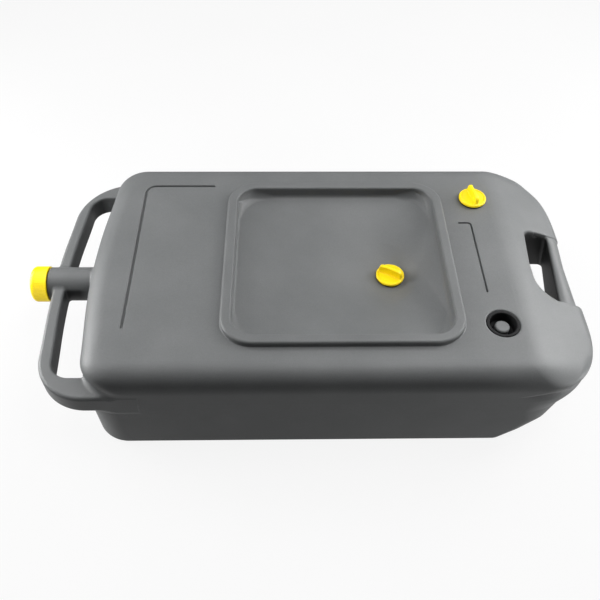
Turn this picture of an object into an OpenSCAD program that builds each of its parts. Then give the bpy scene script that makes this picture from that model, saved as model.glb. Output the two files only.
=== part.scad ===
// Closed oil drain pan: a flat hollow canister with a drain tray let into its top, a bail
// handle and pour spout at one end, a hand grip at the other, and three hand-turned closures.
// Origin: centre of the base, on the ground. +X towards the hand grip, +Z up.

/* [Tank] */
// Width of the tank across its side walls
tank_w = 340; // [334:1:346]
// Height of the flat top face above the base
top_z = 125; // [120:1:130]
// Foremost point of the spout end wall, measured from the origin
left_reach = 248; // [246:1:250]
// Foremost point of the grip end, measured from the origin
nose_reach = 322; // [318:1:326]
// Where the flat base ends and the underside of the grip end starts to rise
base_reach = 220; // [212:1:226]
// Where the flat top ends and the top of the grip end starts to fall
top_reach = 243; // [240:1:248]
// Radius of the shoulder between the top face and the side walls
shoulder_r = 26; // [24:1:30]
// Wall thickness of the tank
wall = 2.5; // [2:0.1:3]
// Height of the mould parting line, the bail and the spout axis
parting_z = 80; // [78:1:82]

/* [Drain tray] */
// Length of the raised rim along X
tray_l = 264; // [258:1:268]
// Width of the raised rim along Y
tray_w = 250; // [246:1:254]
// Middle of the tray along X
tray_x = 39.6; // [38:0.1:42]
// Outer corner radius of the rim
tray_corner_r = 36; // [32:1:40]
// Height of the rim above the top face
rim_h = 7; // [6:0.5:8]
// Width of the rim's upper face
rim_w = 10; // [8:0.5:12]
// Depth of the tray's edge below the rim
tray_depth = 14; // [13:0.5:16]
// Height of the flat seat round the drain hole
seat_z = 90; // [88:1:92]
// Position of the drain hole along X
drain_x = 103; // [98:1:108]

/* [Handles] */
// Foremost point of the bail, measured from the origin
bail_reach = 296.5; // [295:0.5:298]
// Width of the bail's bar beside the spout
bail_bar = 15.5; // [15:0.5:17]
// Height of the bail's upper face above the base
bail_top = 91; // [90:1:92]
// Thickness of the bail
bail_t = 27; // [25:1:28]
// Outer corner radius of the bail
bail_corner_r = 64; // [62:1:68]
// Half the length of the two gaps inside the bail
bail_gap = 140; // [136:1:142]
// Where the hand slot starts along X
slot_x = 265; // [264:0.5:268]
// Length of the hand slot across the tank
slot_w = 110; // [107:1:111]
// Width of the grip bar
grip_w = 18; // [17:1:19]
// Height of the grip bar
grip_h = 30; // [28:1:31]

/* [Closures] */
// Outer radius of the pour spout's neck
neck_r = 20; // [19.6:0.1:20.2]
// Radius of the spout's bore
spout_bore_r = 14; // [13:0.1:15]
// Outer radius of the spout cap
cap_r = 21; // [20.5:0.1:21.5]
// Length of the spout cap
cap_l = 19.5; // [19:0.5:22]
// Radius of the winged caps' discs
disc_r = 16.8; // [16.5:0.1:17]
// Radius of the holes that the winged caps screw into
hole_r = 13.2; // [13:0.1:13.4]
// Distance of the vent and of the parking socket from the middle of the tank
corner_y = 98; // [96:1:99]
// Position of the vent and of the parking socket along X
corner_x = 212; // [210:1:213]
// Height of a winged cap's grip above its disc
wing_h = 10; // [9:1:11]
// Turn of the vent cap's wing, in degrees from X
vent_turn = 100; // [90:1:110]
// Turn of the drain plug's wing, in degrees from X
drain_turn = -30; // [-40:1:0]

/* [Hidden] */
$fn = 64;

GREY = [0.47, 0.48, 0.49];
YELLOW = [1.0, 0.87, 0.0];
BLACK = [0.09, 0.09, 0.10];

eps = 1;                              // overshoot of a cut past the face it opens
gap = 0.3;                            // running clearance between pieces that move apart

// --- Tank outline ---
belt_z = top_z - shoulder_r;          // height at which the shoulder starts
foot_r = 6;                           // radius along the bottom edge
draft = 2;                            // how far each wall leans in from the belt to the base
left_bow = 10;                        // bulge of the spout end wall
// Radii of the upright corners at each end, as [height, radius] stations
spout_corners = [[0, 42], [60, 38], [98, 49], [125, 23]];
grip_corners = [[0, 12], [20, 16], [40, 36], [60, 70], [80, 90], [90, 86], [98, 62], [105, 42], [125, 12]];
corner_steps = 8;
nose_r = 16;
nose_c = [nose_reach - nose_r, 84];   // centre of the nose's round

// Slopes of the two faces that meet at the nose: tangents to its round
top_run = nose_c - [top_reach, top_z];
low_run = nose_c - [base_reach, 0];
top_slope = -(atan2(top_run.y, top_run.x) + asin(nose_r / norm(top_run)));
low_slope = atan2(low_run.y, low_run.x) - asin(nose_r / norm(low_run));

// Section half-width, and the reach of each end, at height z and t inside the surface
function wall_in(z, t) =
    z > belt_z ? shoulder_r - sqrt(max(0, pow(shoulder_r - t, 2) - pow(z - belt_z, 2)))
    : z < foot_r ? foot_r - sqrt(max(0, pow(foot_r - t, 2) - pow(foot_r - z, 2))) + lean(z)
    : t + lean(z);
function lean(z) = draft * (belt_z - z) / belt_z;
function half_w(z, t) = tank_w / 2 - wall_in(z, t);
function left_x(z, t) = left_bow - left_reach + wall_in(z, t);
function nose_x(z, t) =
    z > nose_c.y + (nose_r - t) * cos(top_slope)
        ? top_reach + (cos(top_slope) * (top_z - z) - t) / sin(top_slope)
    : z < nose_c.y - (nose_r - t) * cos(low_slope)
        ? base_reach + (cos(low_slope) * z - t) / sin(low_slope)
    : nose_c.x + sqrt(pow(nose_r - t, 2) - pow(z - nose_c.y, 2));
function left_r(z, t) = max(2, lookup(z, spout_corners) - t);
function right_r(z, t) = max(2, lookup(z, grip_corners) - t);

function arc(c, r, from, steps) =
    [for (i = [0:steps]) [c.x + r * cos(from + 90 * i / steps), c.y + r * sin(from + 90 * i / steps)]];
function bow(x, y) = [for (k = [0.6, 0.3, 0, -0.3, -0.6]) [x - left_bow * (1 - k * k), k * y]];
function outline(z, t) =
    let (w = half_w(z, t), xl = left_x(z, t), xr = nose_x(z, t), a = left_r(z, t), b = right_r(z, t))
    concat(arc([xr - b, w - b], b, 0, corner_steps),
           arc([xl + a, w - a], a, 90, corner_steps),
           bow(xl, w - a),
           arc([xl + a, a - w], a, 180, corner_steps),
           arc([xr - b, b - w], b, 270, corner_steps));

nose_levels = [for (i = [0:3]) parting_z + (belt_z - parting_z) * i / 4];
function upper_levels(t) =
    concat(nose_levels, [for (a = [0:15:90]) belt_z + (shoulder_r - t) * sin(a)]);
function lower_levels(t) =
    concat([for (a = [0:30:90]) foot_r - (foot_r - t) * cos(a)], [36, 60, 68, 74, parting_z]);

// Closed solid through the outlines at the given heights
module loft(levels, t) {
    n = len(outline(levels[0], t));
    last = len(levels) - 1;
    points = [for (z = levels) for (p = outline(z, t)) [p.x, p.y, z]];
    sides = [for (k = [0:last - 1]) for (i = [0:n - 1])
        let (j = (i + 1) % n)
        each [[k * n + i, (k + 1) * n + i, (k + 1) * n + j], [k * n + i, (k + 1) * n + j, k * n + j]]];
    caps = [[for (i = [0:n - 1]) i], [for (i = [n - 1:-1:0]) last * n + i]];
    polyhedron(points = points, faces = concat(caps, sides));
}

// --- Flat shapes ---
module round_rect(l, w, r) {
    square([l - 2 * r, w], center = true);
    square([l, w - 2 * r], center = true);
    for (sx = [-1, 1], sy = [-1, 1])
        translate([sx * (l / 2 - r), sy * (w / 2 - r)]) circle(r);
}

// The same with its two corners on the -X side rounded only
module half_round_rect(x0, x1, w, r) {
    translate([x0 + r, -w / 2]) square([x1 - x0 - r, w]);
    translate([x0, r - w / 2]) square([r + eps, w - 2 * r]);
    for (s = [-1, 1]) translate([x0 + r, s * (w / 2 - r)]) circle(r);
}

module hand_slot(grow) {
    slot_r = 22;
    half_round_rect(slot_x - grow, nose_reach + 2 * eps, slot_w + 2 * grow, slot_r + grow);
}

// L-shaped engraved line: corner at the given point, one leg each along X and along -Y
module corner_groove(corner, leg_x, leg_y, r) {
    groove_w = 2;
    side = sign(leg_x);
    centre = corner + [side * r, -r];
    translate([min(centre.x, corner.x + leg_x), corner.y - groove_w / 2]) square([abs(leg_x) - r, groove_w]);
    translate([corner.x - groove_w / 2, corner.y - leg_y]) square([groove_w, leg_y - r]);
    intersection() {
        translate(centre) difference() {
            circle(r + groove_w / 2);
            circle(r - groove_w / 2);
        }
        translate([min(centre.x, centre.x - side * 2 * r), centre.y]) square(2 * r);
    }
}

// --- Places ---
module at_drain() translate([drain_x, 0, seat_z]) children();
module at_vent() translate([corner_x, corner_y, top_z]) children();
module at_park() translate([corner_x, -corner_y, top_z]) children();
// The spout's own frame: +Z runs out along the spout from the plane X = 0
module at_spout() translate([0, 0, parting_z]) rotate([0, -90, 0]) children();

// --- Tank ---
collar_wall = 2.5;
socket_r = 20.4;                      // outer radius of the parking socket
neck_root = left_reach - 7;           // where the neck starts, inside the end wall

module shell(outer, inner) {
    difference() {
        loft(outer, 0);
        difference() {
            loft(inner, wall);
            linear_extrude(top_z) hand_slot(wall);
        }
        translate([0, 0, -eps]) linear_extrude(top_z + 2 * eps) hand_slot(0);
        at_spout() translate([0, 0, neck_root - eps]) cylinder(r = neck_r, h = 2 * wall + neck_root);
    }
}

module upper_shell() {
    groove_depth = 1;
    color(GREY) difference() {
        shell(upper_levels(0), concat([parting_z - eps], upper_levels(wall)));
        translate([tray_x, 0, parting_z]) linear_extrude(top_z)
            round_rect(basin_l + 2 * tray_wall, basin_w + 2 * tray_wall, basin_r + tray_wall);
        at_vent() translate([0, 0, -top_z / 2]) cylinder(r = hole_r + collar_wall, h = top_z);
        at_park() translate([0, 0, -top_z / 2]) cylinder(r = socket_r, h = top_z);
        translate([0, 0, top_z - groove_depth]) linear_extrude(2 * groove_depth) {
            corner_groove([-196, 125], 84, 223, 12);
            corner_groove([203, 57], -14, 110, 4);
        }
    }
}

module lower_shell()
    color(GREY) shell(lower_levels(0), concat(lower_levels(wall), [parting_z + eps]));

// --- Drain tray ---
tray_wall = 2.5;
basin_l = tray_l - 2 * rim_w - 4;
basin_w = tray_w - 2 * rim_w - 4;
basin_r = tray_corner_r - rim_w - 2;
floor_z = top_z + rim_h - tray_depth; // height of the tray's floor at its edge
seat_r = 19;
film = 0.01;                          // thickness of a hull's end face

// Funnel from the basin's outline down to the seat round the drain hole
module funnel(grow, drop) {
    hull() {
        translate([tray_x, 0, floor_z - drop]) linear_extrude(max(drop, film))
            round_rect(basin_l + 2 * grow, basin_w + 2 * grow, basin_r + grow, $fn = 32);
        at_drain() translate([0, 0, -drop]) cylinder(r = seat_r + grow, h = film, $fn = 32);
    }
}

// Raised rim and the basin's upright wall
module tray_rim() {
    wall_l = basin_l + 2 * tray_wall;
    wall_w = basin_w + 2 * tray_wall;
    color(GREY) difference() {
        union() {
            translate([tray_x, 0, top_z]) linear_extrude(rim_h) round_rect(tray_l, tray_w, tray_corner_r);
            translate([tray_x, 0, floor_z]) linear_extrude(top_z - floor_z)
                round_rect(wall_l, wall_w, basin_r + tray_wall);
        }
        translate([tray_x, 0, 0]) linear_extrude(2 * top_z) round_rect(basin_l, basin_w, basin_r);
    }
}

// Funnel-shaped floor that the basin's wall stands on
module tray_floor() {
    color(GREY) difference() {
        funnel(tray_wall, tray_wall);
        funnel(0, 0);
        at_drain() translate([0, 0, -seat_z / 2]) cylinder(r = hole_r + collar_wall, h = seat_z);
    }
}

// Short tube flush with the face that a winged cap sits on; the cap screws into it
module collar() {
    collar_h = 16;
    color(GREY) translate([0, 0, -collar_h]) difference() {
        cylinder(r = hole_r + collar_wall, h = collar_h);
        translate([0, 0, -eps]) cylinder(r = hole_r, h = collar_h + 2 * eps);
    }
}
module drain_collar() at_drain() collar();
module vent_collar() at_vent() collar();

// --- Parking socket ---
well_r = 18;
well_depth = 16;
post_r = 8.2;
post_drop = 5;                        // how far the post's top lies below the top face

module park_socket() {
    color(GREY) at_park() {
        difference() {
            translate([0, 0, -well_depth - collar_wall]) cylinder(r = socket_r, h = well_depth + collar_wall);
            translate([0, 0, -well_depth]) cylinder(r = well_r, h = well_depth + eps);
        }
        translate([0, 0, -well_depth]) cylinder(r = post_r, h = well_depth - post_drop);
    }
}

// Black liner that covers the wall and the floor of the parking socket
module park_ring() {
    ring_wall = 3.4;
    ring_floor = 1.5;
    fit = 0.1;
    color(BLACK) at_park() translate([0, 0, -well_depth]) difference() {
        cylinder(r = well_r - fit, h = well_depth - 0.5);
        translate([0, 0, ring_floor]) cylinder(r = well_r - fit - ring_wall, h = well_depth);
        translate([0, 0, -eps]) cylinder(r = post_r + fit, h = well_depth);
    }
}

// --- Spout ---
thread_pitch = 4;
thread_h = 1;                         // height of a thread above its root
neck_end = nose_reach - 5;            // the neck's mouth; the cap reaches as far as the nose
thread_root_r = neck_r - 3.6;

// Outline of stacked thread ridges on a shaft of radius r, from z0 up, for rotate_extrude
function ridges(r, z0, count) =
    [for (i = [0:count - 1]) let (z = z0 + i * thread_pitch)
        each [[r, z - 1.2], [r + thread_h, z - 0.4], [r + thread_h, z + 0.4], [r, z + 1.2]]];

module spout_neck() {
    shoulder_at = nose_reach - cap_l - 1;
    first_ridge = shoulder_at + 4;
    profile = concat(
        [[spout_bore_r, neck_root], [neck_r, neck_root], [neck_r, shoulder_at], [thread_root_r, shoulder_at]],
        ridges(thread_root_r, first_ridge, 3),
        [[thread_root_r, neck_end], [spout_bore_r, neck_end]]);
    color(GREY) at_spout() rotate_extrude() polygon(profile);
}

liner_t = 2;
cap_bore_r = thread_root_r + thread_h + gap;

module spout_cap() {
    skirt_end = nose_reach - cap_l;
    chamfer = 2;
    rib_r = 0.9;
    rib_count = 36;
    body_r = cap_r - rib_r / 2;
    color(YELLOW) at_spout() {
        rotate_extrude() polygon([
            [cap_bore_r, skirt_end], [body_r, skirt_end], [body_r, nose_reach - chamfer],
            [body_r - chamfer, nose_reach], [0, nose_reach],
            [0, neck_end + liner_t], [cap_bore_r, neck_end + liner_t]]);
        for (i = [0:rib_count - 1]) rotate(i * 360 / rib_count)
            translate([cap_r - rib_r, 0, skirt_end + 1]) cylinder(r = rib_r, h = cap_l - 2 * chamfer);
    }
}

module spout_cap_liner()
    color(BLACK) at_spout() translate([0, 0, neck_end]) cylinder(r = cap_bore_r - gap, h = liner_t);

// --- Winged caps: washer on the seat, disc, upright wing, hollow threaded skirt ---
washer_t = 1.5;
skirt_r = hole_r - gap - thread_h;

module washer()
    color(BLACK) difference() {
        cylinder(r = disc_r - 0.8, h = washer_t);
        translate([0, 0, -eps]) cylinder(r = skirt_r + gap, h = washer_t + 2 * eps);
    }

module winged_cap(turn) {
    disc_t = 4;
    chamfer = 1;
    skirt_h = 10;
    skirt_wall = 2.4;
    wing_l = 29;
    wing_t = 5;
    wing_r = 4;
    top = washer_t + disc_t;
    profile = concat(
        [[0, top], [0, top - disc_t / 2], [skirt_r - skirt_wall, top - disc_t / 2],
         [skirt_r - skirt_wall, -skirt_h], [skirt_r, -skirt_h]],
        ridges(skirt_r, -skirt_h + 2.5, 2),
        [[skirt_r, washer_t], [disc_r, washer_t], [disc_r, top - chamfer], [disc_r - chamfer, top]]);
    color(YELLOW) rotate(turn) {
        rotate_extrude() polygon(profile);
        translate([0, wing_t / 2, top]) rotate([90, 0, 0]) linear_extrude(wing_t) {
            translate([-wing_l / 2, 0]) square([wing_l, wing_h - wing_r]);
            translate([wing_r - wing_l / 2, 0]) square([wing_l - 2 * wing_r, wing_h]);
            for (s = [-1, 1]) translate([s * (wing_l / 2 - wing_r), wing_h - wing_r]) circle(wing_r);
        }
    }
}

module vent_cap() at_vent() winged_cap(vent_turn);
module vent_cap_seal() at_vent() washer();
module drain_plug() at_drain() winged_cap(drain_turn);
module drain_plug_seal() at_drain() washer();

// --- Handles ---
// Outline open to +X: two straight arms, round corners and an end bulging towards -X
module bowed_loop(end_x, bulge, half, r, x1) {
    xl = end_x + bulge;
    polygon(concat([[x1, half]], arc([xl + r, half - r], r, 90, corner_steps),
        [for (k = [0.8:-0.2:-0.8]) [xl - bulge * (1 - k * k), k * (half - r)]],
        arc([xl + r, r - half], r, 180, corner_steps), [[x1, -half]]));
}

module bail_outline(inset) {
    arm_half = tank_w / 2 - 1;
    gap_corner_r = 45;
    end_bulge = 6;
    gap_bulge = 10;
    difference() {
        bowed_loop(inset - bail_reach, end_bulge, arm_half - inset, bail_corner_r - inset, -180);
        bowed_loop(bail_bar - bail_reach - inset, gap_bulge, bail_gap + inset, gap_corner_r + inset, -170);
    }
}

module bail_handle() {
    skin = 3;
    color(GREY) difference() {
        translate([0, 0, bail_top - bail_t]) linear_extrude(bail_t) bail_outline(0);
        translate([0, 0, bail_top - bail_t + skin]) linear_extrude(bail_t - 2 * skin) difference() {
            bail_outline(skin);
            square([3 * bail_reach, 2 * (neck_r + skin)], center = true);
        }
        at_spout() cylinder(r = neck_r, h = 2 * bail_reach);
        loft(concat(lower_levels(0), upper_levels(0)), 0);
    }
}

module grip_bar() {
    grip_r = 8;
    skin = 3;
    grip_x = nose_reach - 4 - grip_w / 2;
    grip_z = 83;
    color(GREY) translate([grip_x, slot_w / 2, grip_z]) rotate([90, 0, 0]) linear_extrude(slot_w) difference() {
        round_rect(grip_w, grip_h, grip_r);
        round_rect(grip_w - 2 * skin, grip_h - 2 * skin, grip_r - skin);
    }
}

upper_shell();
lower_shell();
tray_rim();
tray_floor();
drain_collar();
vent_collar();
park_socket();
park_ring();
spout_neck();
bail_handle();
grip_bar();
spout_cap();
spout_cap_liner();
vent_cap();
vent_cap_seal();
drain_plug();
drain_plug_seal();
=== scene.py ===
"""Closed oil drain pan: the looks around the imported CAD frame.

+X runs to the hand grip, +Y to the vent cap and +Z up. Shapes and the camera's place are worked out in
millimetres and scaled by MM. Lights and floor are in metres.
"""

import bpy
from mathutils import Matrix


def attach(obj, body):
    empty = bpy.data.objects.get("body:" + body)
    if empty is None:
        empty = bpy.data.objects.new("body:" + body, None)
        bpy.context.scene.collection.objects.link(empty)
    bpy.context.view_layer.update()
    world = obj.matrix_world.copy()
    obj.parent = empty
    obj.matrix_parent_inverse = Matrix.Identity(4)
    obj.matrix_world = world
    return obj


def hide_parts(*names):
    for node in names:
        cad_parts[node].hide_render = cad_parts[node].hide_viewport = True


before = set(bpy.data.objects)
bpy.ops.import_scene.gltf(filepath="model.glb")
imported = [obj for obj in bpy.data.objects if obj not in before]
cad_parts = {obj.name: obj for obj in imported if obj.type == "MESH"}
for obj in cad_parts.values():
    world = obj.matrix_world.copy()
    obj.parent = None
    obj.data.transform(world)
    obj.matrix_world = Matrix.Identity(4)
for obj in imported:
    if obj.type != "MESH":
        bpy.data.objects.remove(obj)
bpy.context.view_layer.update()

import math

import bmesh
import bpy
import numpy as np
from mathutils import Matrix, Vector

MM = 0.001
UP = (0, 0, 1)

# --- Sizes in millimetres --------------------------------------------------------------

# Tank
TANK_W = 340.0                  # over the long walls
TOP_Z = 125.0                   # top face
LEFT = 248.0                    # reach of the spout's end wall
NOSE = 322.0                    # reach of the grip end
BASE_X = 226.0                  # end of the flat base
TOP_X = 243.0                   # end of the flat top
SHOULDER_R = 26.0               # long edges of the top
FOOT_R = 3.0                    # long edges of the base
DRAFT = 1.5                     # lean of the walls below the shoulders
BELT_Z = TOP_Z - SHOULDER_R     # foot of the shoulders
BOW = 10.0                      # bulge of the spout's end wall
BOW_END = 60.0                  # where the bulge has gone, towards +X
BOW_FADE = 200.0                # length over which it goes
BULGE_SOFT = 0.35               # how gently a bulge runs into its corners
NOSE_R = 16.0                   # tip of the grip end, seen from the side
NOSE_Z = 84.0
NOSE_X = NOSE - NOSE_R
CREST_R = 70.0                  # round between the top and the nose's upper face
HEEL_R = 12.0                   # round between the base and the nose's lower face
# Radii of the tank's corners in plan: heights, and the radius at each
SPOUT_CORNERS = ((0, 60, 98, 125), (37, 36, 49, 23))
GRIP_CORNERS = ((0, 20, 40, 60, 80, 90, 98, 105, 125), (15, 22, 36, 68, 87, 102, 68, 42, 12))

# Mould parting line and the flange along the spout's end wall
PARTING_Z = 80.0
PARTING_H = 0.05
PARTING_W = 0.8
FLANGE_Z = 79.0
FLANGE_T = 2.4
FLANGE_OUT = 2.4                # how far it stands out of the wall
FLANGE_X = -200.0               # the flange lies on the spout's side of this
FLANGE_Y = 150.0                # half its length

# Drain tray
TRAY_X = 39.6
TRAY_Y = -1.5
TRAY_L = 264.0
TRAY_W = 253.0
TRAY_R = 36.0
RIM_Z = 132.0
BASIN_L = 240.0                 # inside the rim
BASIN_W = 229.0
BASIN_R = 24.0
BASIN_FILLET = 3.5              # between wall and floor
CORNER_FILLET = 11.0            # added to it in the corners
CORNER_START = 42.0             # how far from the walls that begins
CORNER_FADE = 30.0              # length over which it grows
FLOOR_Z = 118.0                 # floor at the basin's wall
FUNNEL_SOFT = 34.0              # extra corner radius halfway down the funnel
SEAT_Z = 90.0                   # seat of the drain plug
SEAT_R = 19.0
DRAIN_X = 103.0

# Bail handle and spout neck
BAIL_X = 295.0                  # reach of its outer edge
BAIL_BULGE = 6.0                # bulge of its outer edge
BAIL_TOP = 91.0
BAIL_T = 27.0
BAIL_R = 55.0                   # outer corner on the -Y side
BAIL_FAR_R = 67.0               # outer corner on the +Y side
BAIL_ARM_X = -180.0             # the arms end here, inside the tank
GAP_X = 281.0                   # reach of its inner edge
GAP_BULGE = 8.0
GAP_Y = 141.0                   # half the opening's width
GAP_R = 20.0
NECK_R = 20.0
NECK_Z = 80.0
NECK_END = 301.5
NECK_ROOT = 250.0               # middle of the neck, which starts inside the tank

# Hand slot and grip bar
SLOT_X = 265.0                  # edge on the tray's side
SLOT_Y = 2.5
SLOT_Z = 49.0                   # lower edge, which is level
SLOT_W = 109.0
SLOT_SKEW = 0.11                # slope of the edge at +Y, in plan
SLOT_NEAR_R = 30.0              # corner radii on the -Y and the +Y side
SLOT_FAR_R = 10.0
GRIP_X = 301.0                  # inner face of the bar, at the slot's lower edge
GRIP_LEAN = 0.06                # the face leans inwards going up
GRIP_SKEW = 0.154               # slope of the face in plan, at the lower edge
GRIP_TWIST = 0.00125            # loss of that slope per millimetre of height
GRIP_DROP = ((-54, 10, 54), (4.8, 4.5, 1.5))    # the bar's top below the nose, along the slot
GRIP_CURL = 5.0                 # further drop at the bar's inner edge
GRIP_CURL_X = 306.0             # where that begins, and the length over which it grows
GRIP_CURL_L = 12.0
DENT_X = SLOT_X + 22            # the nose is lowered from here outwards
BOSS_BACK_X = SLOT_X - 20       # back of the slot's surround, inside the tank
BOSS_SIDE = 18.0                # how far it reaches past the slot's ends
BOSS_X = 312.0                  # its outer face
BOSS_SKEW = 0.06                # slope of that face at +Y, in plan
BOSS_TOP = 76.0

# Closures' holes, parking socket and pressed lines
CORNER_X = 212.0                # vent cap at +Y, parking socket at -Y
CORNER_Y = 98.0
HOLE_R = 13.2
WELL_R = 18.2
WELL_FLOOR = 109.0
POST_R = 8.2
POST_Z = 120.0
LINE_HALF = 1.5                 # half the width of a pressed line
LINE_DEPTH = 2.8
THREAD_PITCH = 4.0              # of all three closures
THREAD_H = 1.0

# --- Distance fields: negative inside --------------------------------------------------


def rmax(a, b, r):
    """Intersection whose convex edge is rounded to radius r."""
    u, v = np.maximum(a + r, 0), np.maximum(b + r, 0)
    return np.minimum(np.maximum(a, b), -r) + np.sqrt(u * u + v * v)


def rmin(a, b, r):
    """Union whose concave corner is filled to radius r."""
    return -rmax(-a, -b, r)


def smin(a, b, k):
    """Smaller of two values, blended where they differ by less than k."""
    h = np.maximum(k - np.abs(a - b), 0) / k
    return np.minimum(a, b) - h * h * k / 4


def fade(value):
    """The value held between 0 and 1."""
    return np.clip(value, 0, 1)


def slab(z, top, half):
    """Layer of height 2 * half below top."""
    return np.abs(z - top + half) - half


def round_rect(x, y, half_x, half_y, r):
    """Rectangle with round corners."""
    qx, qy = np.abs(x) - half_x + r, np.abs(y) - half_y + r
    return (np.minimum(np.maximum(qx, qy), 0)
            + np.sqrt(np.maximum(qx, 0) ** 2 + np.maximum(qy, 0) ** 2) - r)


def tangent(dx, dz, sign):
    """Angle of the line from a point to the nose's round, whose centre is (dx, dz) away."""
    return math.atan2(dz, dx) + sign * math.asin(NOSE_R / math.hypot(dx, dz))


TOP_SLOPE = -tangent(NOSE_X - TOP_X, NOSE_Z - TOP_Z, 1)
LOW_SLOPE = tangent(NOSE_X - BASE_X, NOSE_Z, -1)


def nose_reach(z):
    """Reach of the grip end at height z."""
    top = TOP_X + (TOP_Z - z) / math.tan(TOP_SLOPE)
    low = BASE_X + z / math.tan(LOW_SLOPE)
    nose = NOSE_X + np.sqrt(np.maximum(NOSE_R ** 2 - (z - NOSE_Z) ** 2, 0))
    x = np.where(z > NOSE_Z + NOSE_R * math.cos(TOP_SLOPE), top,
                 np.where(z < NOSE_Z - NOSE_R * math.cos(LOW_SLOPE), low, nose))
    drop = np.clip(TOP_Z - z, 0, None)
    crest = (TOP_X - CREST_R * math.tan(TOP_SLOPE / 2)
             + np.sqrt(np.maximum(CREST_R ** 2 - (CREST_R - drop) ** 2, 0)))
    x = np.where(drop < CREST_R * (1 - math.cos(TOP_SLOPE)), crest, x)
    rise = np.clip(z, 0, None)
    heel = (BASE_X - HEEL_R * math.tan(LOW_SLOPE / 2)
            + np.sqrt(np.maximum(HEEL_R ** 2 - (HEEL_R - rise) ** 2, 0)))
    return np.where(rise < HEEL_R * (1 - math.cos(LOW_SLOPE)), heel, x)


def wall_in(z):
    """How far the walls stand inside the tank's full width at height z."""
    lean = DRAFT * (BELT_Z - z) / BELT_Z
    shoulder = SHOULDER_R - np.sqrt(np.maximum(SHOULDER_R ** 2 - (z - BELT_Z) ** 2, 0))
    foot = FOOT_R - np.sqrt(np.maximum(FOOT_R ** 2 - (FOOT_R - z) ** 2, 0))
    return np.where(z > BELT_Z, shoulder, lean + np.where(z < FOOT_R, foot, 0))


def outline(x, y, z):
    """Distance in the horizontal plane to the tank's outline at height z."""
    z = np.clip(z, 0, TOP_Z)
    inset = wall_in(z)
    half = TANK_W / 2 - inset
    left = BOW - LEFT + inset
    right = nose_reach(z)
    spout_r = np.interp(z, *SPOUT_CORNERS).astype(z.dtype)
    grip_r = np.interp(z, *GRIP_CORNERS).astype(z.dtype)
    k = smin(np.abs(y) / (half - spout_r), np.ones_like(y), BULGE_SOFT)
    x = x + BOW * (1 - k * k) * fade((BOW_END - x) / BOW_FADE)
    middle = (left + right) / 2
    corner = np.where(x < middle, spout_r, grip_r)
    return round_rect(x - middle, y, (right - left) / 2, half, corner)


def body(x, y, z):
    """The plain tank: the outline's distance, corrected for the slope of the wall."""
    step = 0.25
    d = outline(x, y, z)
    up = outline(x, y, np.minimum(z + step, TOP_Z))
    down = outline(x, y, np.maximum(z - step, 0))
    steep = (up - down) / (2 * step)
    d = d / np.sqrt(1 + steep * steep)
    return np.maximum(d, np.maximum(z - TOP_Z, -z))


def tray_rim(x, y, z):
    plan = round_rect(x - TRAY_X, y - TRAY_Y, TRAY_L / 2, TRAY_W / 2, TRAY_R)
    return rmax(plan, slab(z, RIM_Z, 20), 3)


def funnel(x, y, z):
    """The space above the funnel floor: sections run from the basin's outline to the seat."""
    depth = FLOOR_Z - SEAT_Z

    def section(at):
        s = np.clip((FLOOR_Z - at) / depth, -0.6, 1)
        r = (1 - s) * BASIN_R + s * SEAT_R
        hx = (1 - s) * (BASIN_L / 2 - BASIN_R) + r
        hy = (1 - s) * (BASIN_W / 2 - BASIN_R) + r
        corner = np.minimum(r + FUNNEL_SOFT * fade(4 * s * (1 - s)), np.minimum(hx, hy))
        return round_rect(x - (1 - s) * TRAY_X - s * DRAIN_X, y - (1 - s) * TRAY_Y, hx, hy, corner)

    steep = section(z + 0.5) - section(z - 0.5)
    return section(z) / np.sqrt(1 + steep * steep)


def tray_space(x, y, z):
    """What is cut out for the tray: its wall meets the floor in a fillet that widens into the corners."""
    bx, by = np.abs(x - TRAY_X), np.abs(y - TRAY_Y)
    basin = round_rect(bx, by, BASIN_L / 2, BASIN_W / 2, BASIN_R)
    corner = (fade((bx - BASIN_L / 2 + CORNER_START) / CORNER_FADE)
              * fade((by - BASIN_W / 2 + CORNER_START) / CORNER_FADE))
    space = rmax(basin, funnel(x, y, z), BASIN_FILLET + CORNER_FILLET * corner)
    return rmax(space, SEAT_Z - z, 2)


def loop(x, y, end, bulge, half, r):
    """Outline open to +X with round corners and an end that bulges towards -X."""
    k = smin(np.abs(y) / (half - r), np.ones_like(y), BULGE_SOFT)
    x = x + bulge * (1 - k * k)
    u, v = np.maximum(end + r - x, 0), np.maximum(np.abs(y) - half + r, 0)
    return np.minimum(np.maximum(end - x, np.abs(y) - half), -r) + np.sqrt(u * u + v * v)


def bail_gap(x, y):
    """Plan of the opening inside the bail."""
    return loop(x, y, GAP_BULGE - GAP_X, GAP_BULGE, GAP_Y, GAP_R)


def bail(x, y, z):
    """The bail's band in plan, with soft edges above and below."""
    outer_r = np.where(y > 0, BAIL_FAR_R, BAIL_R)
    outer = loop(x, y, BAIL_BULGE - BAIL_X, BAIL_BULGE, TANK_W / 2 - 1, outer_r)
    inner = bail_gap(x, y)
    band = np.maximum(rmax(outer, -inner, 2), x - BAIL_ARM_X)
    high, low = z - BAIL_TOP, BAIL_TOP - BAIL_T - z
    inner_side = np.maximum(rmax(high, -inner, 2.5), rmax(low, -inner, 4))
    outer_side = np.maximum(rmax(high, outer, 4), rmax(low, outer, 7))
    return np.maximum(band, np.maximum(inner_side, outer_side))


def spout_neck(x, y, z):
    """The neck's plain part, as far as the cap."""
    shaft = np.sqrt(y * y + (z - NECK_Z) ** 2) - NECK_R
    return rmax(shaft, np.abs(x + NECK_ROOT) - NECK_END + NECK_ROOT, 1.5)


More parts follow.
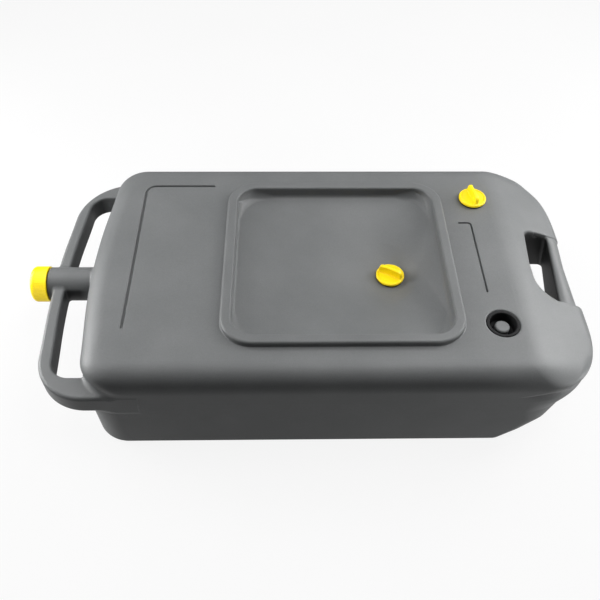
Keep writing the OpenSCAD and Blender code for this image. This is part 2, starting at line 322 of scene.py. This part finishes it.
def flange(x, y, z):
    """The mould's flange along the spout's end wall, between the bail's arms."""
    along = np.maximum(x - FLANGE_X, np.abs(y) - FLANGE_Y)
    return np.maximum(np.abs(z - FLANGE_Z) - FLANGE_T / 2,
                      np.maximum(outline(x, y, z) - FLANGE_OUT, along))


def slot_ends(y):
    """Distance past the slot's two ends."""
    return np.abs(y - SLOT_Y) - SLOT_W / 2


def hand_slot(x, y, z):
    """The opening for the fingers, between the tank and the grip bar."""
    side = y - SLOT_Y
    tank_edge = SLOT_X + SLOT_SKEW * np.clip(y, 0, 60) - x
    slot = rmax(tank_edge, slot_ends(y), np.where(side > 0, SLOT_FAR_R, SLOT_NEAR_R))
    up = z - SLOT_Z
    grip_edge = x - GRIP_X + GRIP_LEAN * up - (GRIP_SKEW - GRIP_TWIST * up) * side
    return rmax(slot, grip_edge, 5)


def grip_dent(x, y, z):
    """What is taken off the nose, so that the grip bar lies a little below it and curls inwards."""
    drop = np.interp(y - SLOT_Y, *GRIP_DROP) + GRIP_CURL * fade((GRIP_CURL_X - x) / GRIP_CURL_L) ** 2
    below = body(x, y, z) + drop.astype(z.dtype)
    return np.maximum(np.maximum(DENT_X - x, slot_ends(y)), -below)


def slot_boss(x, y, z):
    """The slot's surround under the nose, with a level lower edge."""
    outer = x - BOSS_X - BOSS_SKEW * np.maximum(y - SLOT_Y, 0)
    plan = rmax(slot_ends(y) - BOSS_SIDE, np.maximum(BOSS_BACK_X - x, outer), 14)
    return np.maximum(rmax(plan, SLOT_Z - z, 6), z - BOSS_TOP)


def slot_scoop(x, y, z):
    """Clears what the nose leaves under the slot's lower edge."""
    return np.maximum(np.maximum(SLOT_X - x, x - GRIP_X), np.maximum(slot_ends(y), z - SLOT_Z))


def bore(x, y, z, at_x, at_y, bottom):
    """Hole for a winged cap's skirt."""
    return rmax(np.hypot(x - at_x, y - at_y) - HOLE_R, bottom - z, 1)


def groove(x, y, corner, leg_x, leg_y, r):
    """Distance in plan to an L-shaped line with a round corner, legs along X and -Y."""
    side = math.copysign(1, leg_x)
    px, py = (x - corner[0]) * side, corner[1] - y     # both legs now run positive
    cx, cy = px - r, py - r
    arc = np.abs(np.sqrt(cx * cx + cy * cy) - r)
    along_x = np.hypot(np.maximum(px - abs(leg_x), 0) + np.minimum(px - r, 0), py)
    along_y = np.hypot(np.maximum(py - leg_y, 0) + np.minimum(py - r, 0), px)
    arc = np.where((cx < 0) & (cy < 0), arc, 1e3)
    return np.minimum(arc, np.minimum(along_x, along_y))


def pressed_lines(x, y, z):
    """A long line beside the spout and a short, narrower one beside the vent cap."""
    spout_line = groove(x, y, (-196, 125), 84, 226, 12)
    vent_line = groove(x, y, (203, 57), -14, 110, 4) + 0.4
    return rmax(np.minimum(spout_line, vent_line) - LINE_HALF, TOP_Z - LINE_DEPTH - z, 0.6)


def tank(x, y, z):
    """The whole moulding. Each step ends with the radius of the edge that it makes."""
    t = rmin(body(x, y, z), tray_rim(x, y, z), 1.2)
    t = rmin(t, rmin(bail(x, y, z), spout_neck(x, y, z), 3), 5)
    t = rmin(t, flange(x, y, z), 1.5)
    t = rmax(t, -grip_dent(x, y, z), 2)
    t = rmin(t, slot_boss(x, y, z), 6)
    bar_edge = 6 * fade((x - 290) / 8) * fade(-slot_ends(y) / 10)      # the bar is rounder than the rest
    t = rmax(t, -hand_slot(x, y, z), 2.5 + bar_edge)
    t = rmax(t, -slot_scoop(x, y, z), 1.5)
    t = rmax(t, -tray_space(x, y, z), 2.5)
    t = rmax(t, -bore(x, y, z, DRAIN_X, 0, SEAT_Z - 30), 1)
    t = rmax(t, -bore(x, y, z, CORNER_X, CORNER_Y, TOP_Z - 40), 1)
    park = np.hypot(x - CORNER_X, y + CORNER_Y)
    t = rmax(t, -rmax(park - WELL_R, WELL_FLOOR - z, 1), 2)
    t = np.minimum(t, rmax(park - POST_R, slab(z, POST_Z, 10), 2))
    t = rmax(t, -pressed_lines(x, y, z), 0.7)
    t = np.maximum(t, np.abs(y) - TANK_W / 2 - 0.2)
    return t - PARTING_H * np.exp(-((z - PARTING_Z) / PARTING_W) ** 2)


BELT_SHADE = 0.42               # painted shade at the foot of the shoulders


def painted_shade_map(x, y, z):
    """Painted shade, 0 to 1, standing in for the shade that falls in the hand slot, inside the bail and at
    the foot of the long shoulders.
    """
    # painted shade on the bail's inner side and on the hand slot's walls
    in_bail = fade((2.5 - bail_gap(x, y)) / 2) * fade((BAIL_TOP - 0.5 - z) / 3) * fade((-256 - x) / 8)
    deep = np.maximum(-body(x, y, z) - 2, 75 - z)
    in_slot = fade((3 - hand_slot(x, y, z)) / 2) * fade(deep / 4) * (x > 240)
    # painted shade: a dark band along the foot of the long shoulders
    belt = BELT_SHADE * np.exp(-((z - BELT_Z - 12) / 6) ** 2) * fade((np.abs(y) - 150) / 12)
    belt = belt * fade((250 - x) / 60) * fade((x + 235) / 20)
    return np.maximum(np.maximum(in_bail, in_slot), belt)


# --- Field to mesh ---------------------------------------------------------------------


def axis(low, high, coarse, bands):
    """Grid lines from low to high, coarse apart, or closer inside the bands (from, to, step)."""
    lines, at = [low], low
    while at < high:
        step = coarse
        for start, end, fine in bands:
            if start <= at < end:
                step = min(step, fine)
            elif at < start < at + step:
                step = max(start - at, fine)
        at += step
        lines.append(at)
    return np.array(lines)


def net(field, xs, ys, zs):
    """Surface net of a field on a grid: (points, quads)."""
    shape = (len(xs), len(ys), len(zs))
    values = np.empty(shape, np.float32)
    for start in range(0, shape[0], 24):
        part = slice(start, start + 24)
        gx, gy, gz = np.meshgrid(xs[part].astype(np.float32), ys.astype(np.float32),
                                 zs.astype(np.float32), indexing="ij")
        values[part] = field(gx, gy, gz)
    inside = values < 0
    count = np.zeros(tuple(n - 1 for n in shape), np.uint8)
    for i in (0, 1):
        for j in (0, 1):
            for k in (0, 1):
                count += inside[i:shape[0] - 1 + i, j:shape[1] - 1 + j, k:shape[2] - 1 + k]
    cells = np.argwhere((count > 0) & (count < 8))
    index = np.full(count.shape, -1, np.int64)
    index[tuple(cells.T)] = np.arange(len(cells))
    total, hits = np.zeros((len(cells), 3)), np.zeros(len(cells))
    lines = (xs, ys, zs)
    for a in range(3):
        b, c = (a + 1) % 3, (a + 2) % 3
        for db in (0, 1):
            for dc in (0, 1):
                low = cells.copy()
                low[:, b] += db
                low[:, c] += dc
                high = low.copy()
                high[:, a] += 1
                f0 = values[tuple(low.T)].astype(float)
                f1 = values[tuple(high.T)].astype(float)
                cross = (f0 < 0) != (f1 < 0)
                t = np.where(cross, f0 / np.where(cross, f0 - f1, 1), 0)
                p = np.stack([lines[n][low[:, n]] for n in range(3)], 1)
                p[:, a] += t * (lines[a][high[:, a]] - lines[a][low[:, a]])
                total[cross] += p[cross]
                hits += cross
    points = total / hits[:, None]
    quads = []
    for a in range(3):
        b, c = (a + 1) % 3, (a + 2) % 3
        low = [slice(1, -1)] * 3
        low[a] = slice(0, shape[a] - 1)
        high = list(low)
        high[a] = slice(1, shape[a])
        first, second = inside[tuple(low)], inside[tuple(high)]
        for mask, flip in ((first & ~second, False), (~first & second, True)):
            e = np.argwhere(mask)
            for n in (b, c):
                e[:, n] += 1
            ring = []
            for db, dc in ((-1, -1), (0, -1), (0, 0), (-1, 0)):
                q = e.copy()
                q[:, b] += db
                q[:, c] += dc
                ring.append(index[tuple(q.T)])
            ring = np.stack(ring[::-1] if flip else ring, 1)
            quads.append(ring)
    return points, np.concatenate(quads)


def gradient(field, p, step=0.05):
    out = np.empty_like(p)
    for n in range(3):
        up, down = p.copy(), p.copy()
        up[:, n] += step
        down[:, n] -= step
        out[:, n] = (field(*up.T) - field(*down.T)) / (2 * step)
    return out


def settle(field, p, rounds, reach):
    """Moves points onto the field's surface, at most reach in a round."""
    for _ in range(rounds):
        g = gradient(field, p)
        move = (field(*p.T) / np.maximum((g * g).sum(1), 0.05))[:, None] * g
        size = np.linalg.norm(move, axis=1, keepdims=True)
        p = p - move * np.minimum(1, reach / np.maximum(size, 1e-9))
    return p


def add(name, data):
    """Object linked to the scene."""
    ob = bpy.data.objects.new(name, data)
    bpy.context.scene.collection.objects.link(ob)
    return ob


def set_points(mesh, points):
    """Moves a mesh's vertices to points in millimetres."""
    mesh.vertices.foreach_set("co", (points * MM).astype(np.float32).ravel())


def get_points(mesh):
    """A mesh's vertices in millimetres."""
    p = np.empty(len(mesh.vertices) * 3, np.float32)
    mesh.vertices.foreach_get("co", p)
    return p.reshape(-1, 3).astype(float) / MM


def quad_mesh(name, points, quads):
    """Smooth mesh object from points in millimetres."""
    mesh = bpy.data.meshes.new(name)
    mesh.vertices.add(len(points))
    set_points(mesh, points)
    mesh.loops.add(quads.size)
    mesh.loops.foreach_set("vertex_index", quads.astype(np.int32).ravel())
    mesh.polygons.add(len(quads))
    mesh.polygons.foreach_set("loop_start", np.arange(0, quads.size, 4, dtype=np.int32))
    mesh.update(calc_edges=True)
    mesh.validate()
    mesh.shade_smooth()
    return add(name, mesh)


def thin(ob, keep):
    """Keeps a share of an object's faces."""
    mod = ob.modifiers.new("thin", "DECIMATE")
    mod.ratio = keep
    dg = bpy.context.evaluated_depsgraph_get()
    mesh = bpy.data.meshes.new_from_object(ob.evaluated_get(dg))
    ob.modifiers.clear()
    old, ob.data = ob.data, mesh
    name = old.name
    bpy.data.meshes.remove(old)
    mesh.name = name


def carve(name, field, xs, ys, zs, keep, cell):
    """Closed smooth piece from a field: net, thinned to a share of its faces, set on the surface."""
    points, quads = net(field, xs, ys, zs)
    ob = quad_mesh(name, settle(field, points, 3, cell), quads)
    thin(ob, keep)
    mesh = ob.data
    p = settle(field, get_points(mesh), 2, cell / 4)
    set_points(mesh, p)
    mesh.update()
    mesh.shade_smooth()
    n = gradient(field, p, 0.1)
    n /= np.maximum(np.linalg.norm(n, axis=1, keepdims=True), 1e-9)
    mesh.normals_split_custom_set_from_vertices(n.astype(np.float32))
    return ob


def placed(name, points, faces, at, towards):
    """Piece from points in millimetres about +Z, turned towards a direction and moved to its place."""
    mesh = bpy.data.meshes.new(name)
    mesh.from_pydata([Vector(p) * MM for p in points], [], faces)
    bm = bmesh.new()
    bm.from_mesh(mesh)
    bmesh.ops.recalc_face_normals(bm, faces=bm.faces)
    bm.to_mesh(mesh)
    bm.free()
    mesh.shade_smooth()
    turn = Vector(UP).rotation_difference(Vector(towards)).to_matrix().to_4x4()
    mesh.transform(Matrix.Translation(Vector(at) * MM) @ turn)
    return add(name, mesh)


def lathe(name, profile, at, towards=UP, steps=96, bumps=None):
    """Closed turned piece: a closed profile of (radius, height), or one that starts and ends on the axis."""
    points, faces, rings = [], [], []
    for r, h in profile:
        if r == 0:
            rings.append([len(points)])
            points.append((0, 0, h))
            continue
        ring = []
        for i in range(steps):
            a = 2 * math.pi * i / steps
            rr = r + (bumps(a, r, h) if bumps else 0)
            ring.append(len(points))
            points.append((rr * math.cos(a), rr * math.sin(a), h))
        rings.append(ring)
    pairs = list(zip(rings, rings[1:]))
    if profile[0][0] > 0:
        pairs.append((rings[-1], rings[0]))
    for low, high in pairs:
        for i in range(steps):
            j = (i + 1) % steps
            if len(low) == 1:
                faces.append((low[0], high[j], high[i]))
            elif len(high) == 1:
                faces.append((low[i], low[j], high[0]))
            else:
                faces.append((low[i], low[j], high[j], high[i]))
    return placed(name, points, faces, at, towards)


def soft_profile(corners, steps=5):
    """Profile with its corners rounded: corners are (radius, height, round)."""
    out = []
    n = len(corners)
    for i, (r, h, soft) in enumerate(corners):
        if soft == 0:
            out.append((r, h))
            continue
        p = Vector((r, h))
        before = (Vector(corners[i - 1][:2]) - p).normalized()
        after = (Vector(corners[(i + 1) % n][:2]) - p).normalized()
        a, b = p + before * soft, p + after * soft
        for k in range(steps + 1):
            t = k / steps
            q = a * (1 - t) ** 2 + p * 2 * t * (1 - t) + b * t * t
            out.append((q.x, q.y))
    return out


def thread(name, r, height, turns, start, at, towards):
    """Closed helical ridge on a shaft of radius r, its ends tapered into the shaft."""
    per_turn, root, crest, sunk = 48, 1.3, 0.45, -0.3
    section = ((sunk, -root), (0.0, -root), (height, -crest), (height, crest), (0.0, root), (sunk, root))
    total = int(per_turn * turns)
    points, faces = [], []
    for i in range(total + 1):
        a = 2 * math.pi * i / per_turn
        taper = min(1, i / 10, (total - i) / 10)
        for out, along in section:
            rr = r + (out * taper if out > 0 else out)
            z = start + THREAD_PITCH * i / per_turn + along * (0.25 + 0.75 * taper)
            points.append((rr * math.cos(a), rr * math.sin(a), z))
    m = len(section)
    for i in range(total):
        for k in range(m):
            j = (k + 1) % m
            faces.append((i * m + k, (i + 1) * m + k, (i + 1) * m + j, i * m + j))
    faces.append(tuple(range(m)))
    faces.append(tuple(total * m + k for k in reversed(range(m))))
    return placed(name, points, faces, at, towards)


def join(obs):
    """One object from several, the first one's name kept."""
    bm = bmesh.new()
    for ob in obs:
        bm.from_mesh(ob.data)
    bm.to_mesh(obs[0].data)
    bm.free()
    obs[0].data.shade_smooth()
    for ob in obs[1:]:
        mesh = ob.data
        bpy.data.objects.remove(ob)
        bpy.data.meshes.remove(mesh)
    return obs[0]


# --- Materials -------------------------------------------------------------------------

PAINTED_SHADE_TONE = 0.22              # what the darkest painted shade leaves of the colour


def material(name):
    """A new material, its nodes, its links and its shader."""
    mat = bpy.data.materials.new(name)
    mat.use_nodes = True
    return mat, mat.node_tree.nodes, mat.node_tree.links, mat.node_tree.nodes["Principled BSDF"]


def noise(nodes, links, where, scale, detail, rough=0.5):
    """Noise in the object's own coordinates, 0 to 1."""
    tex = nodes.new("ShaderNodeTexNoise")
    tex.inputs["Scale"].default_value = scale
    tex.inputs["Detail"].default_value = detail
    tex.inputs["Roughness"].default_value = rough
    links.new(where.outputs["Object"], tex.inputs["Vector"])
    return tex.outputs["Fac"]


def ramp(nodes, links, source, stops):
    """Colour ramp: stops are (position, colour), and a bare number is a grey."""
    r = nodes.new("ShaderNodeValToRGB")
    links.new(source, r.inputs["Fac"])
    el = r.color_ramp.elements
    while len(el) < len(stops):
        el.new(0.5)
    for e, (pos, col) in zip(el, stops):
        e.position = pos
        e.color = (*col, 1) if isinstance(col, tuple) else (col, col, col, 1)
    return r.outputs["Color"]


def multiply(nodes, links, first, second):
    """One colour times another."""
    mix = nodes.new("ShaderNodeMix")
    mix.data_type = "RGBA"
    mix.blend_type = "MULTIPLY"
    mix.inputs[0].default_value = 1
    links.new(first, mix.inputs[6])
    links.new(second, mix.inputs[7])
    return mix.outputs[2]


def bump(nodes, links, height, depth_mm):
    """Bump node for a height of 0 to 1."""
    node = nodes.new("ShaderNodeBump")
    node.inputs["Distance"].default_value = depth_mm * MM
    node.inputs["Strength"].default_value = 1
    links.new(height, node.inputs["Height"])
    return node


def plastic(name, base, light, dark, rough, rough_span, grain_scale, grain_mm, wave_mm, specular=0.5):
    """Base colour that drifts between two near tones, with specks, fine grain and slow waves, darkened by the
    painted shade that a mesh carries.
    """
    mat, nodes, links, shader = material(name)
    where = nodes.new("ShaderNodeTexCoord")
    drift = noise(nodes, links, where, 14, 4, 0.55)
    colour = ramp(nodes, links, drift, ((0.32, dark), (0.5, base), (0.68, light)))
    speck = noise(nodes, links, where, 900, 2, 0.6)
    colour = multiply(nodes, links, colour, ramp(nodes, links, speck, ((0.3, 0.93), (0.7, 1.06))))
    # painted shade: the colour darkened by the amount on the mesh's points
    cavity = nodes.new("ShaderNodeAttribute")
    cavity.attribute_name = "cavity"
    dim = ramp(nodes, links, cavity.outputs["Fac"], ((0, 1), (1, PAINTED_SHADE_TONE)))
    links.new(multiply(nodes, links, colour, dim), shader.inputs["Base Color"])
    patch = noise(nodes, links, where, 9, 3)
    gloss = ramp(nodes, links, patch, ((0.3, rough - rough_span), (0.7, rough + rough_span)))
    links.new(gloss, shader.inputs["Roughness"])
    shader.inputs["Specular IOR Level"].default_value = specular
    wave = bump(nodes, links, noise(nodes, links, where, 16, 2), wave_mm)
    grain = bump(nodes, links, noise(nodes, links, where, grain_scale, 3, 0.6), grain_mm)
    links.new(wave.outputs["Normal"], grain.inputs["Normal"])
    links.new(grain.outputs["Normal"], shader.inputs["Normal"])
    return mat


PAINT = {
    "tank_grey": plastic("tank_grey", (0.170, 0.176, 0.178), (0.182, 0.188, 0.190), (0.158, 0.164, 0.166),
                         0.46, 0.04, 1500, 0.10, 0.5),
    "cap_yellow": plastic("cap_yellow", (0.99, 0.74, 0.002), (1.0, 0.77, 0.003), (0.96, 0.70, 0.001),
                          0.36, 0.04, 1100, 0.03, 0.1),
    "black_rubber": plastic("black_rubber", (0.016, 0.016, 0.017), (0.020, 0.020, 0.021),
                            (0.012, 0.012, 0.013), 0.70, 0.06, 1300, 0.05, 0.1, 0.25),
}

# --- Pieces ----------------------------------------------------------------------------


def dress(ob, slot, body_name, *nodes):
    """Gives a piece its material and slot, the body that it rides and the CAD nodes that it replaces."""
    ob.data.materials.append(PAINT[slot])
    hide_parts(*nodes)
    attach(ob, body_name)


COARSE = 2.0
FINE = 1.0
LINE = 0.6
WINGED_CELL = 0.45


def moulding():
    """The tank with its rim, tray, sockets, bail, neck root and grip bar, in one mesh."""
    xs = axis(-298, 328, COARSE, [
        (-297, -256, FINE),         # bail
        (-200, -192, LINE),         # long pressed line
        (-96, -76, FINE),           # ends of the tray
        (154, 176, FINE),
        (190, 234, FINE),           # vent hole and parking socket
        (199, 207, LINE),           # short pressed line
        (86, 120, FINE),            # drain hole
        (258, 326, FINE)])          # hand slot and grip bar
    xs = np.concatenate([np.arange(-305, -298, FINE), xs])
    ys = axis(-174, 174, COARSE, [
        (-174, -136, FINE),         # long wall and bail
        (-130, -106, FINE),         # tray rim
        (-102, -94, FINE),          # parking post
        (-62, -45, FINE),           # end of the hand slot
        (-24, 24, FINE),            # neck and drain hole
        (45, 62, FINE),             # other end of the hand slot
        (53, 61, LINE),             # short pressed line
        (80, 116, FINE),            # vent hole
        (106, 121, FINE),           # tray wall
        (121, 129, LINE),           # long pressed line
        (129, 174, FINE)])          # bail and long wall
    zs = axis(-3, 136, COARSE, [
        (-3, 8, FINE),              # foot
        (54, 72, FINE),             # underside of the bail and neck
        (77, 82, 0.6),              # flange and parting line
        (82, 96, FINE),             # top of the bail
        (106, 122, FINE),           # tray floor
        (122, 127, 0.7),            # top face
        (127, 136, FINE)])          # tray rim
    ob = carve("tank_moulding", tank, xs, ys, zs, 0.5, COARSE)
    # painted shade on the mesh's points, read by the material
    shade = painted_shade_map(*get_points(ob.data).T)
    cavity = ob.data.attributes.new("cavity", "FLOAT", "POINT")
    cavity.data.foreach_set("value", shade.astype(np.float32))
    dress(ob, "tank_grey", "tank", "upper_shell", "lower_shell", "tray_rim", "tray_floor", "drain_collar",
          "vent_collar", "park_socket", "bail_handle", "grip_bar")


moulding()

SPOUT = (0, 0, NECK_Z)
OUT = (-1, 0, 0)
THREAD_R = NECK_R - 3.6
CAP_R = 21.2
CAP_START = 302.5
CAP_END = 322.0
CAP_BORE = THREAD_R + 1.3
CAP_ROUND = 4.5                 # edge of the face
CAP_INNER = 319.0               # inner side of the face
CAP_DISH = 0.5                  # depth of the dished face
RIBS = 48
RIB_H = 0.22
LINER_R = 17.3
LINER_START = 317.05
LINER_END = 318.9
MOUTH_R = 14.0                  # bore of the threaded end, and where that end starts and stops
MOUTH_START = 260.0
MOUTH_END = 317.0


def neck_end():
    """Threaded end of the neck, with its mouth."""
    ob = lathe("spout_neck_end", soft_profile([
        (MOUTH_R, MOUTH_START, 0), (THREAD_R, MOUTH_START, 0),
        (THREAD_R, MOUTH_END, 0.8), (MOUTH_R, MOUTH_END, 0.8)]), SPOUT, OUT)
    ob = join([ob, thread("neck_thread", THREAD_R, THREAD_H, 2.6, CAP_START, SPOUT, OUT)])
    dress(ob, "tank_grey", "tank", "spout_neck")


def ribs(a, r, h):
    """Height of the spout cap's ribs below its full radius."""
    if r < 20 or not CAP_START + 1.2 < h < CAP_END - 5:
        return 0
    return RIB_H * (0.5 + 0.5 * math.cos(RIBS * a)) ** 2 - RIB_H


def ribbed_cap():
    """Spout cap: ribbed skirt, round edge and slightly dished face."""
    inside = [(0, CAP_INNER), (CAP_BORE - 0.5, CAP_INNER), (CAP_BORE, CAP_INNER - 0.5),
              (CAP_BORE, CAP_START + 0.4), (CAP_BORE + 0.4, CAP_START)]
    mouth = [(CAP_R - 0.8, CAP_START), (CAP_R - 0.2, CAP_START + 0.3), (CAP_R, CAP_START + 0.9)]
    skirt = [(CAP_R, CAP_START + 1.3), (CAP_R, CAP_START + 2.2),
             (CAP_R, CAP_END - 5.8), (CAP_R, CAP_END - 5.0)]
    angles = [math.radians(d) for d in range(0, 91, 15)]
    edge = [(CAP_R - CAP_ROUND * (1 - math.cos(a)), CAP_END - CAP_ROUND + CAP_ROUND * math.sin(a))
            for a in angles]
    dish = CAP_END - CAP_DISH
    face = [(CAP_R - 6.0, CAP_END), (CAP_R - 7.0, dish), (6.0, dish), (0, dish)]
    profile = inside + mouth + skirt + edge + face
    ob = lathe("spout_cap_ribbed", profile, SPOUT, OUT, RIBS * 8, ribs)
    dress(ob, "cap_yellow", "spout_cap", "spout_cap")


def cap_liner():
    ob = lathe("spout_liner", soft_profile([
        (0, LINER_START, 0), (LINER_R, LINER_START, 0.4), (LINER_R, LINER_END, 0.4), (0, LINER_END, 0)]),
        SPOUT, OUT)
    dress(ob, "black_rubber", "spout_liner", "spout_cap_liner")


neck_end()
ribbed_cap()
cap_liner()

# Winged caps, about their seats
DISC_R = 16.8
DISC_T = 4.0
WASHER_T = 1.5
WASHER_R = 16.0
WASHER_HOLE = 12.2
WING_L = 29.0
WING_T = 5.0
WING_WAIST = 0.9                # taken off each side in the middle
WING_FLARE = 1.1                # and given back towards the ends
WING_H = 10.0
SKIRT_R = 11.9
SKIRT_T = 2.4
SKIRT_MID = 4.0                 # its middle below the seat, and half its height
SKIRT_HALF = 6.0


def winged(x, y, z):
    """Dished disc, a wing that is thinnest and highest in its middle, and the skirt below."""
    r = np.hypot(x, y)
    top = WASHER_T + DISC_T
    disc = rmax(r - DISC_R, np.abs(z - WASHER_T - DISC_T / 2) - DISC_T / 2, 1.5)
    dish = np.maximum(r - DISC_R + 3, top - 0.7 - z)
    disc = rmax(disc, -dish, 0.6)
    sag = 0.05 * np.maximum(np.abs(x) - 6, 0) ** 1.3
    half_t = WING_T / 2 - WING_WAIST + WING_FLARE * (x / (WING_L / 2)) ** 2
    wing = round_rect(x, z - top + 4, WING_L / 2, WING_H + 4 - sag, 4.5)
    wing = rmax(wing, np.abs(y) - half_t, 1.4)
    wing = np.maximum(wing, top - 3 - z)
    skirt = rmax(np.abs(r - SKIRT_R + SKIRT_T / 2) - SKIRT_T / 2, np.abs(z + SKIRT_MID) - SKIRT_HALF, 0.5)
    return np.minimum(rmin(disc, wing, 1.6), skirt)


def winged_cap(name, body_name, node, seat, turn):
    """A winged cap screwed down on its seat, its wing at turn degrees from the X axis."""
    plan = axis(-18, 18, WINGED_CELL, [])
    height = axis(-11, 17, WINGED_CELL, [])
    ob = carve(name, winged, plan, plan, height, 0.35, 0.45)
    ob = join([ob, thread(name + "_thread", SKIRT_R, THREAD_H, 1.6, -8.0, (0, 0, 0), UP)])
    ob.data.transform(Matrix.Translation(Vector(seat) * MM) @ Matrix.Rotation(math.radians(turn), 4, "Z"))
    dress(ob, "cap_yellow", body_name, node)


def washer(name, body_name, node, seat):
    ob = lathe(name, soft_profile([
        (WASHER_HOLE, 0.0, 0.3), (WASHER_R, 0.0, 0.5),
        (WASHER_R, WASHER_T, 0.5), (WASHER_HOLE, WASHER_T, 0.3)]), seat)
    dress(ob, "black_rubber", body_name, node)


VENT = (CORNER_X, CORNER_Y, TOP_Z)
DRAIN = (DRAIN_X, 0, SEAT_Z)
winged_cap("vent_cap_winged", "vent_cap", "vent_cap", VENT, 100)
washer("vent_washer", "vent_seal", "vent_cap_seal", VENT)
winged_cap("drain_plug_winged", "drain_plug", "drain_plug", DRAIN, -30)
washer("drain_washer", "drain_seal", "drain_plug_seal", DRAIN)

RING_OUT = 17.9
RING_IN = 14.5
RING_FLOOR_IN = 8.5
RING_Z = 109.2
RING_TOP = 124.6
RING_FLOOR = 110.8


def park_liner():
    """Black liner of the parking socket: a wall and a floor round the post."""
    ob = lathe("park_liner", soft_profile([
        (RING_FLOOR_IN, RING_Z, 0), (RING_OUT, RING_Z, 0.4), (RING_OUT, RING_TOP, 0.9),
        (RING_IN, RING_TOP, 1.2), (RING_IN, RING_FLOOR, 1.2), (RING_FLOOR_IN, RING_FLOOR, 0)]),
        (CORNER_X, -CORNER_Y, 0))
    dress(ob, "black_rubber", "tank", "park_ring")


park_liner()

# --- Studio ----------------------------------------------------------------------------

FLOOR_HALF = 6.0


def paper_floor():
    """Plain pale floor, which gives most of its own light so that it stays even."""
    s = FLOOR_HALF
    mesh = bpy.data.meshes.new("floor")
    mesh.from_pydata([(-s, -s, 0), (s, -s, 0), (s, s, 0), (-s, s, 0)], [], [(0, 1, 2, 3)])
    ob = add("floor", mesh)
    ob.visible_diffuse = False
    ob.visible_glossy = False
    mat, nodes, links, shader = material("floor_paper")
    where = nodes.new("ShaderNodeTexCoord")
    tint = ramp(nodes, links, noise(nodes, links, where, 3, 3), ((0.3, 0.075), (0.7, 0.085)))
    links.new(tint, shader.inputs["Base Color"])
    shader.inputs["Roughness"].default_value = 0.9
    shader.inputs["Specular IOR Level"].default_value = 0.1
    shader.inputs["Emission Color"].default_value = (1, 1, 1, 1)
    shader.inputs["Emission Strength"].default_value = 0.88
    mesh.materials.append(mat)


paper_floor()


def softbox(name, at, aim, size, power):
    data = bpy.data.lights.new(name, "AREA")
    data.shape = "SQUARE"
    data.size = size
    data.energy = power
    ob = add(name, data)
    ob.location = at
    ob.rotation_euler = (Vector(aim) - Vector(at)).to_track_quat("-Z", "Y").to_euler()
    return ob


def far_softbox(name, azimuth, elevation, power):
    """A 0.8 m softbox 1.5 m from the pan."""
    a, e = math.radians(azimuth), math.radians(elevation)
    aim = Vector((0, 0, 0.08))
    away = Vector((math.cos(e) * math.cos(a), math.cos(e) * math.sin(a), math.sin(e)))
    softbox(name, aim + 1.5 * away, aim, 0.8, power)


far_softbox("over_right", 0, 70, 8.4)
far_softbox("over_left", 180, 70, 2.6)
far_softbox("back_left", 135, 45, 3.0)
far_softbox("back_right", 45, 45, 2.7)
far_softbox("back_right_low", 45, 20, 1.8)
far_softbox("right", 0, 45, 1.3)
softbox("near_right", (0.85, 0.25, 0.55), (0.2, 0, 0.1), 0.4, 5.1)
softbox("near_left", (-0.85, 0.25, 0.55), (-0.2, 0, 0.1), 0.4, 3.2)
softbox("near_left_low", (-0.9, 0.1, 0.25), (-0.25, 0, 0.08), 0.4, 5.3)
softbox("low_right", (0.9, -0.3, 0.03), (0.28, -0.1, 0.05), 0.4, 3.0)

# Fill for the bright yellow caps alone
caps = bpy.data.collections.new("cap_fill")
for name in ("spout_cap_ribbed", "vent_cap_winged", "drain_plug_winged"):
    caps.objects.link(bpy.data.objects[name])
for name, at, size, power in (("fill_high", (-0.15, -0.85, 0.85), 1.2, 4.0),
                              ("fill_low", (-0.5, -0.9, 0.04), 0.6, 4.5)):
    fill = softbox(name, at, (-0.1, 0, 0.08), size, power)
    fill.visible_glossy = False
    fill.light_linking.receiver_collection = caps

# Dark surroundings, and light sent back from the paper below, more of it at the two ends
END_GLOW = 1.26
PLAIN_GLOW = 0.32
world = bpy.data.worlds.new("studio")
world.use_nodes = True
bpy.context.scene.world = world
world_nodes, world_links = world.node_tree.nodes, world.node_tree.links


def maths(operation, *values):
    """Math node in the world: values are numbers or sockets."""
    node = world_nodes.new("ShaderNodeMath")
    node.operation = operation
    for socket, value in zip(node.inputs, values):
        if isinstance(value, (int, float)):
            socket.default_value = value
        else:
            world_links.new(value, socket)
    return node.outputs[0]


heading = world_nodes.new("ShaderNodeTexCoord")
split = world_nodes.new("ShaderNodeSeparateXYZ")
world_links.new(heading.outputs["Generated"], split.inputs[0])
below = maths("MAXIMUM", maths("MULTIPLY", split.outputs["Z"], -1), 0)
ends = maths("MULTIPLY", maths("ABSOLUTE", split.outputs["X"]), END_GLOW)
glow = maths("MULTIPLY", below, maths("ADD", ends, PLAIN_GLOW))
world_links.new(glow, world_nodes["Background"].inputs["Color"])
world_nodes["Background"].inputs["Strength"].default_value = 1.0

# --- Camera at the photograph's angle, 50 degrees downwards -----------------------------

PITCH = math.radians(50)
YAW = math.radians(-1.75)
ROLL = math.radians(1.1)
LENS = 41.8                     # millimetres, on Blender's own sensor width
PLACE = Vector((-21.1, -556.1, 711.2)) * MM

right = Vector((math.cos(YAW), math.sin(YAW), 0))
ahead = Vector((-math.sin(YAW) * math.cos(PITCH), math.cos(YAW) * math.cos(PITCH), -math.sin(PITCH)))
up = right.cross(ahead)
rolled_right = right * math.cos(ROLL) + up * math.sin(ROLL)
rolled_up = up * math.cos(ROLL) - right * math.sin(ROLL)
cam_data = bpy.data.cameras.new("camera")
cam_data.lens = LENS
cam_data.clip_start = 0.02
cam = add("camera", cam_data)
cam.matrix_world = Matrix.Translation(PLACE) @ Matrix((rolled_right, rolled_up, -ahead)).transposed().to_4x4()
bpy.context.scene.camera = cam
bpy.context.scene.view_settings.view_transform = "Standard"
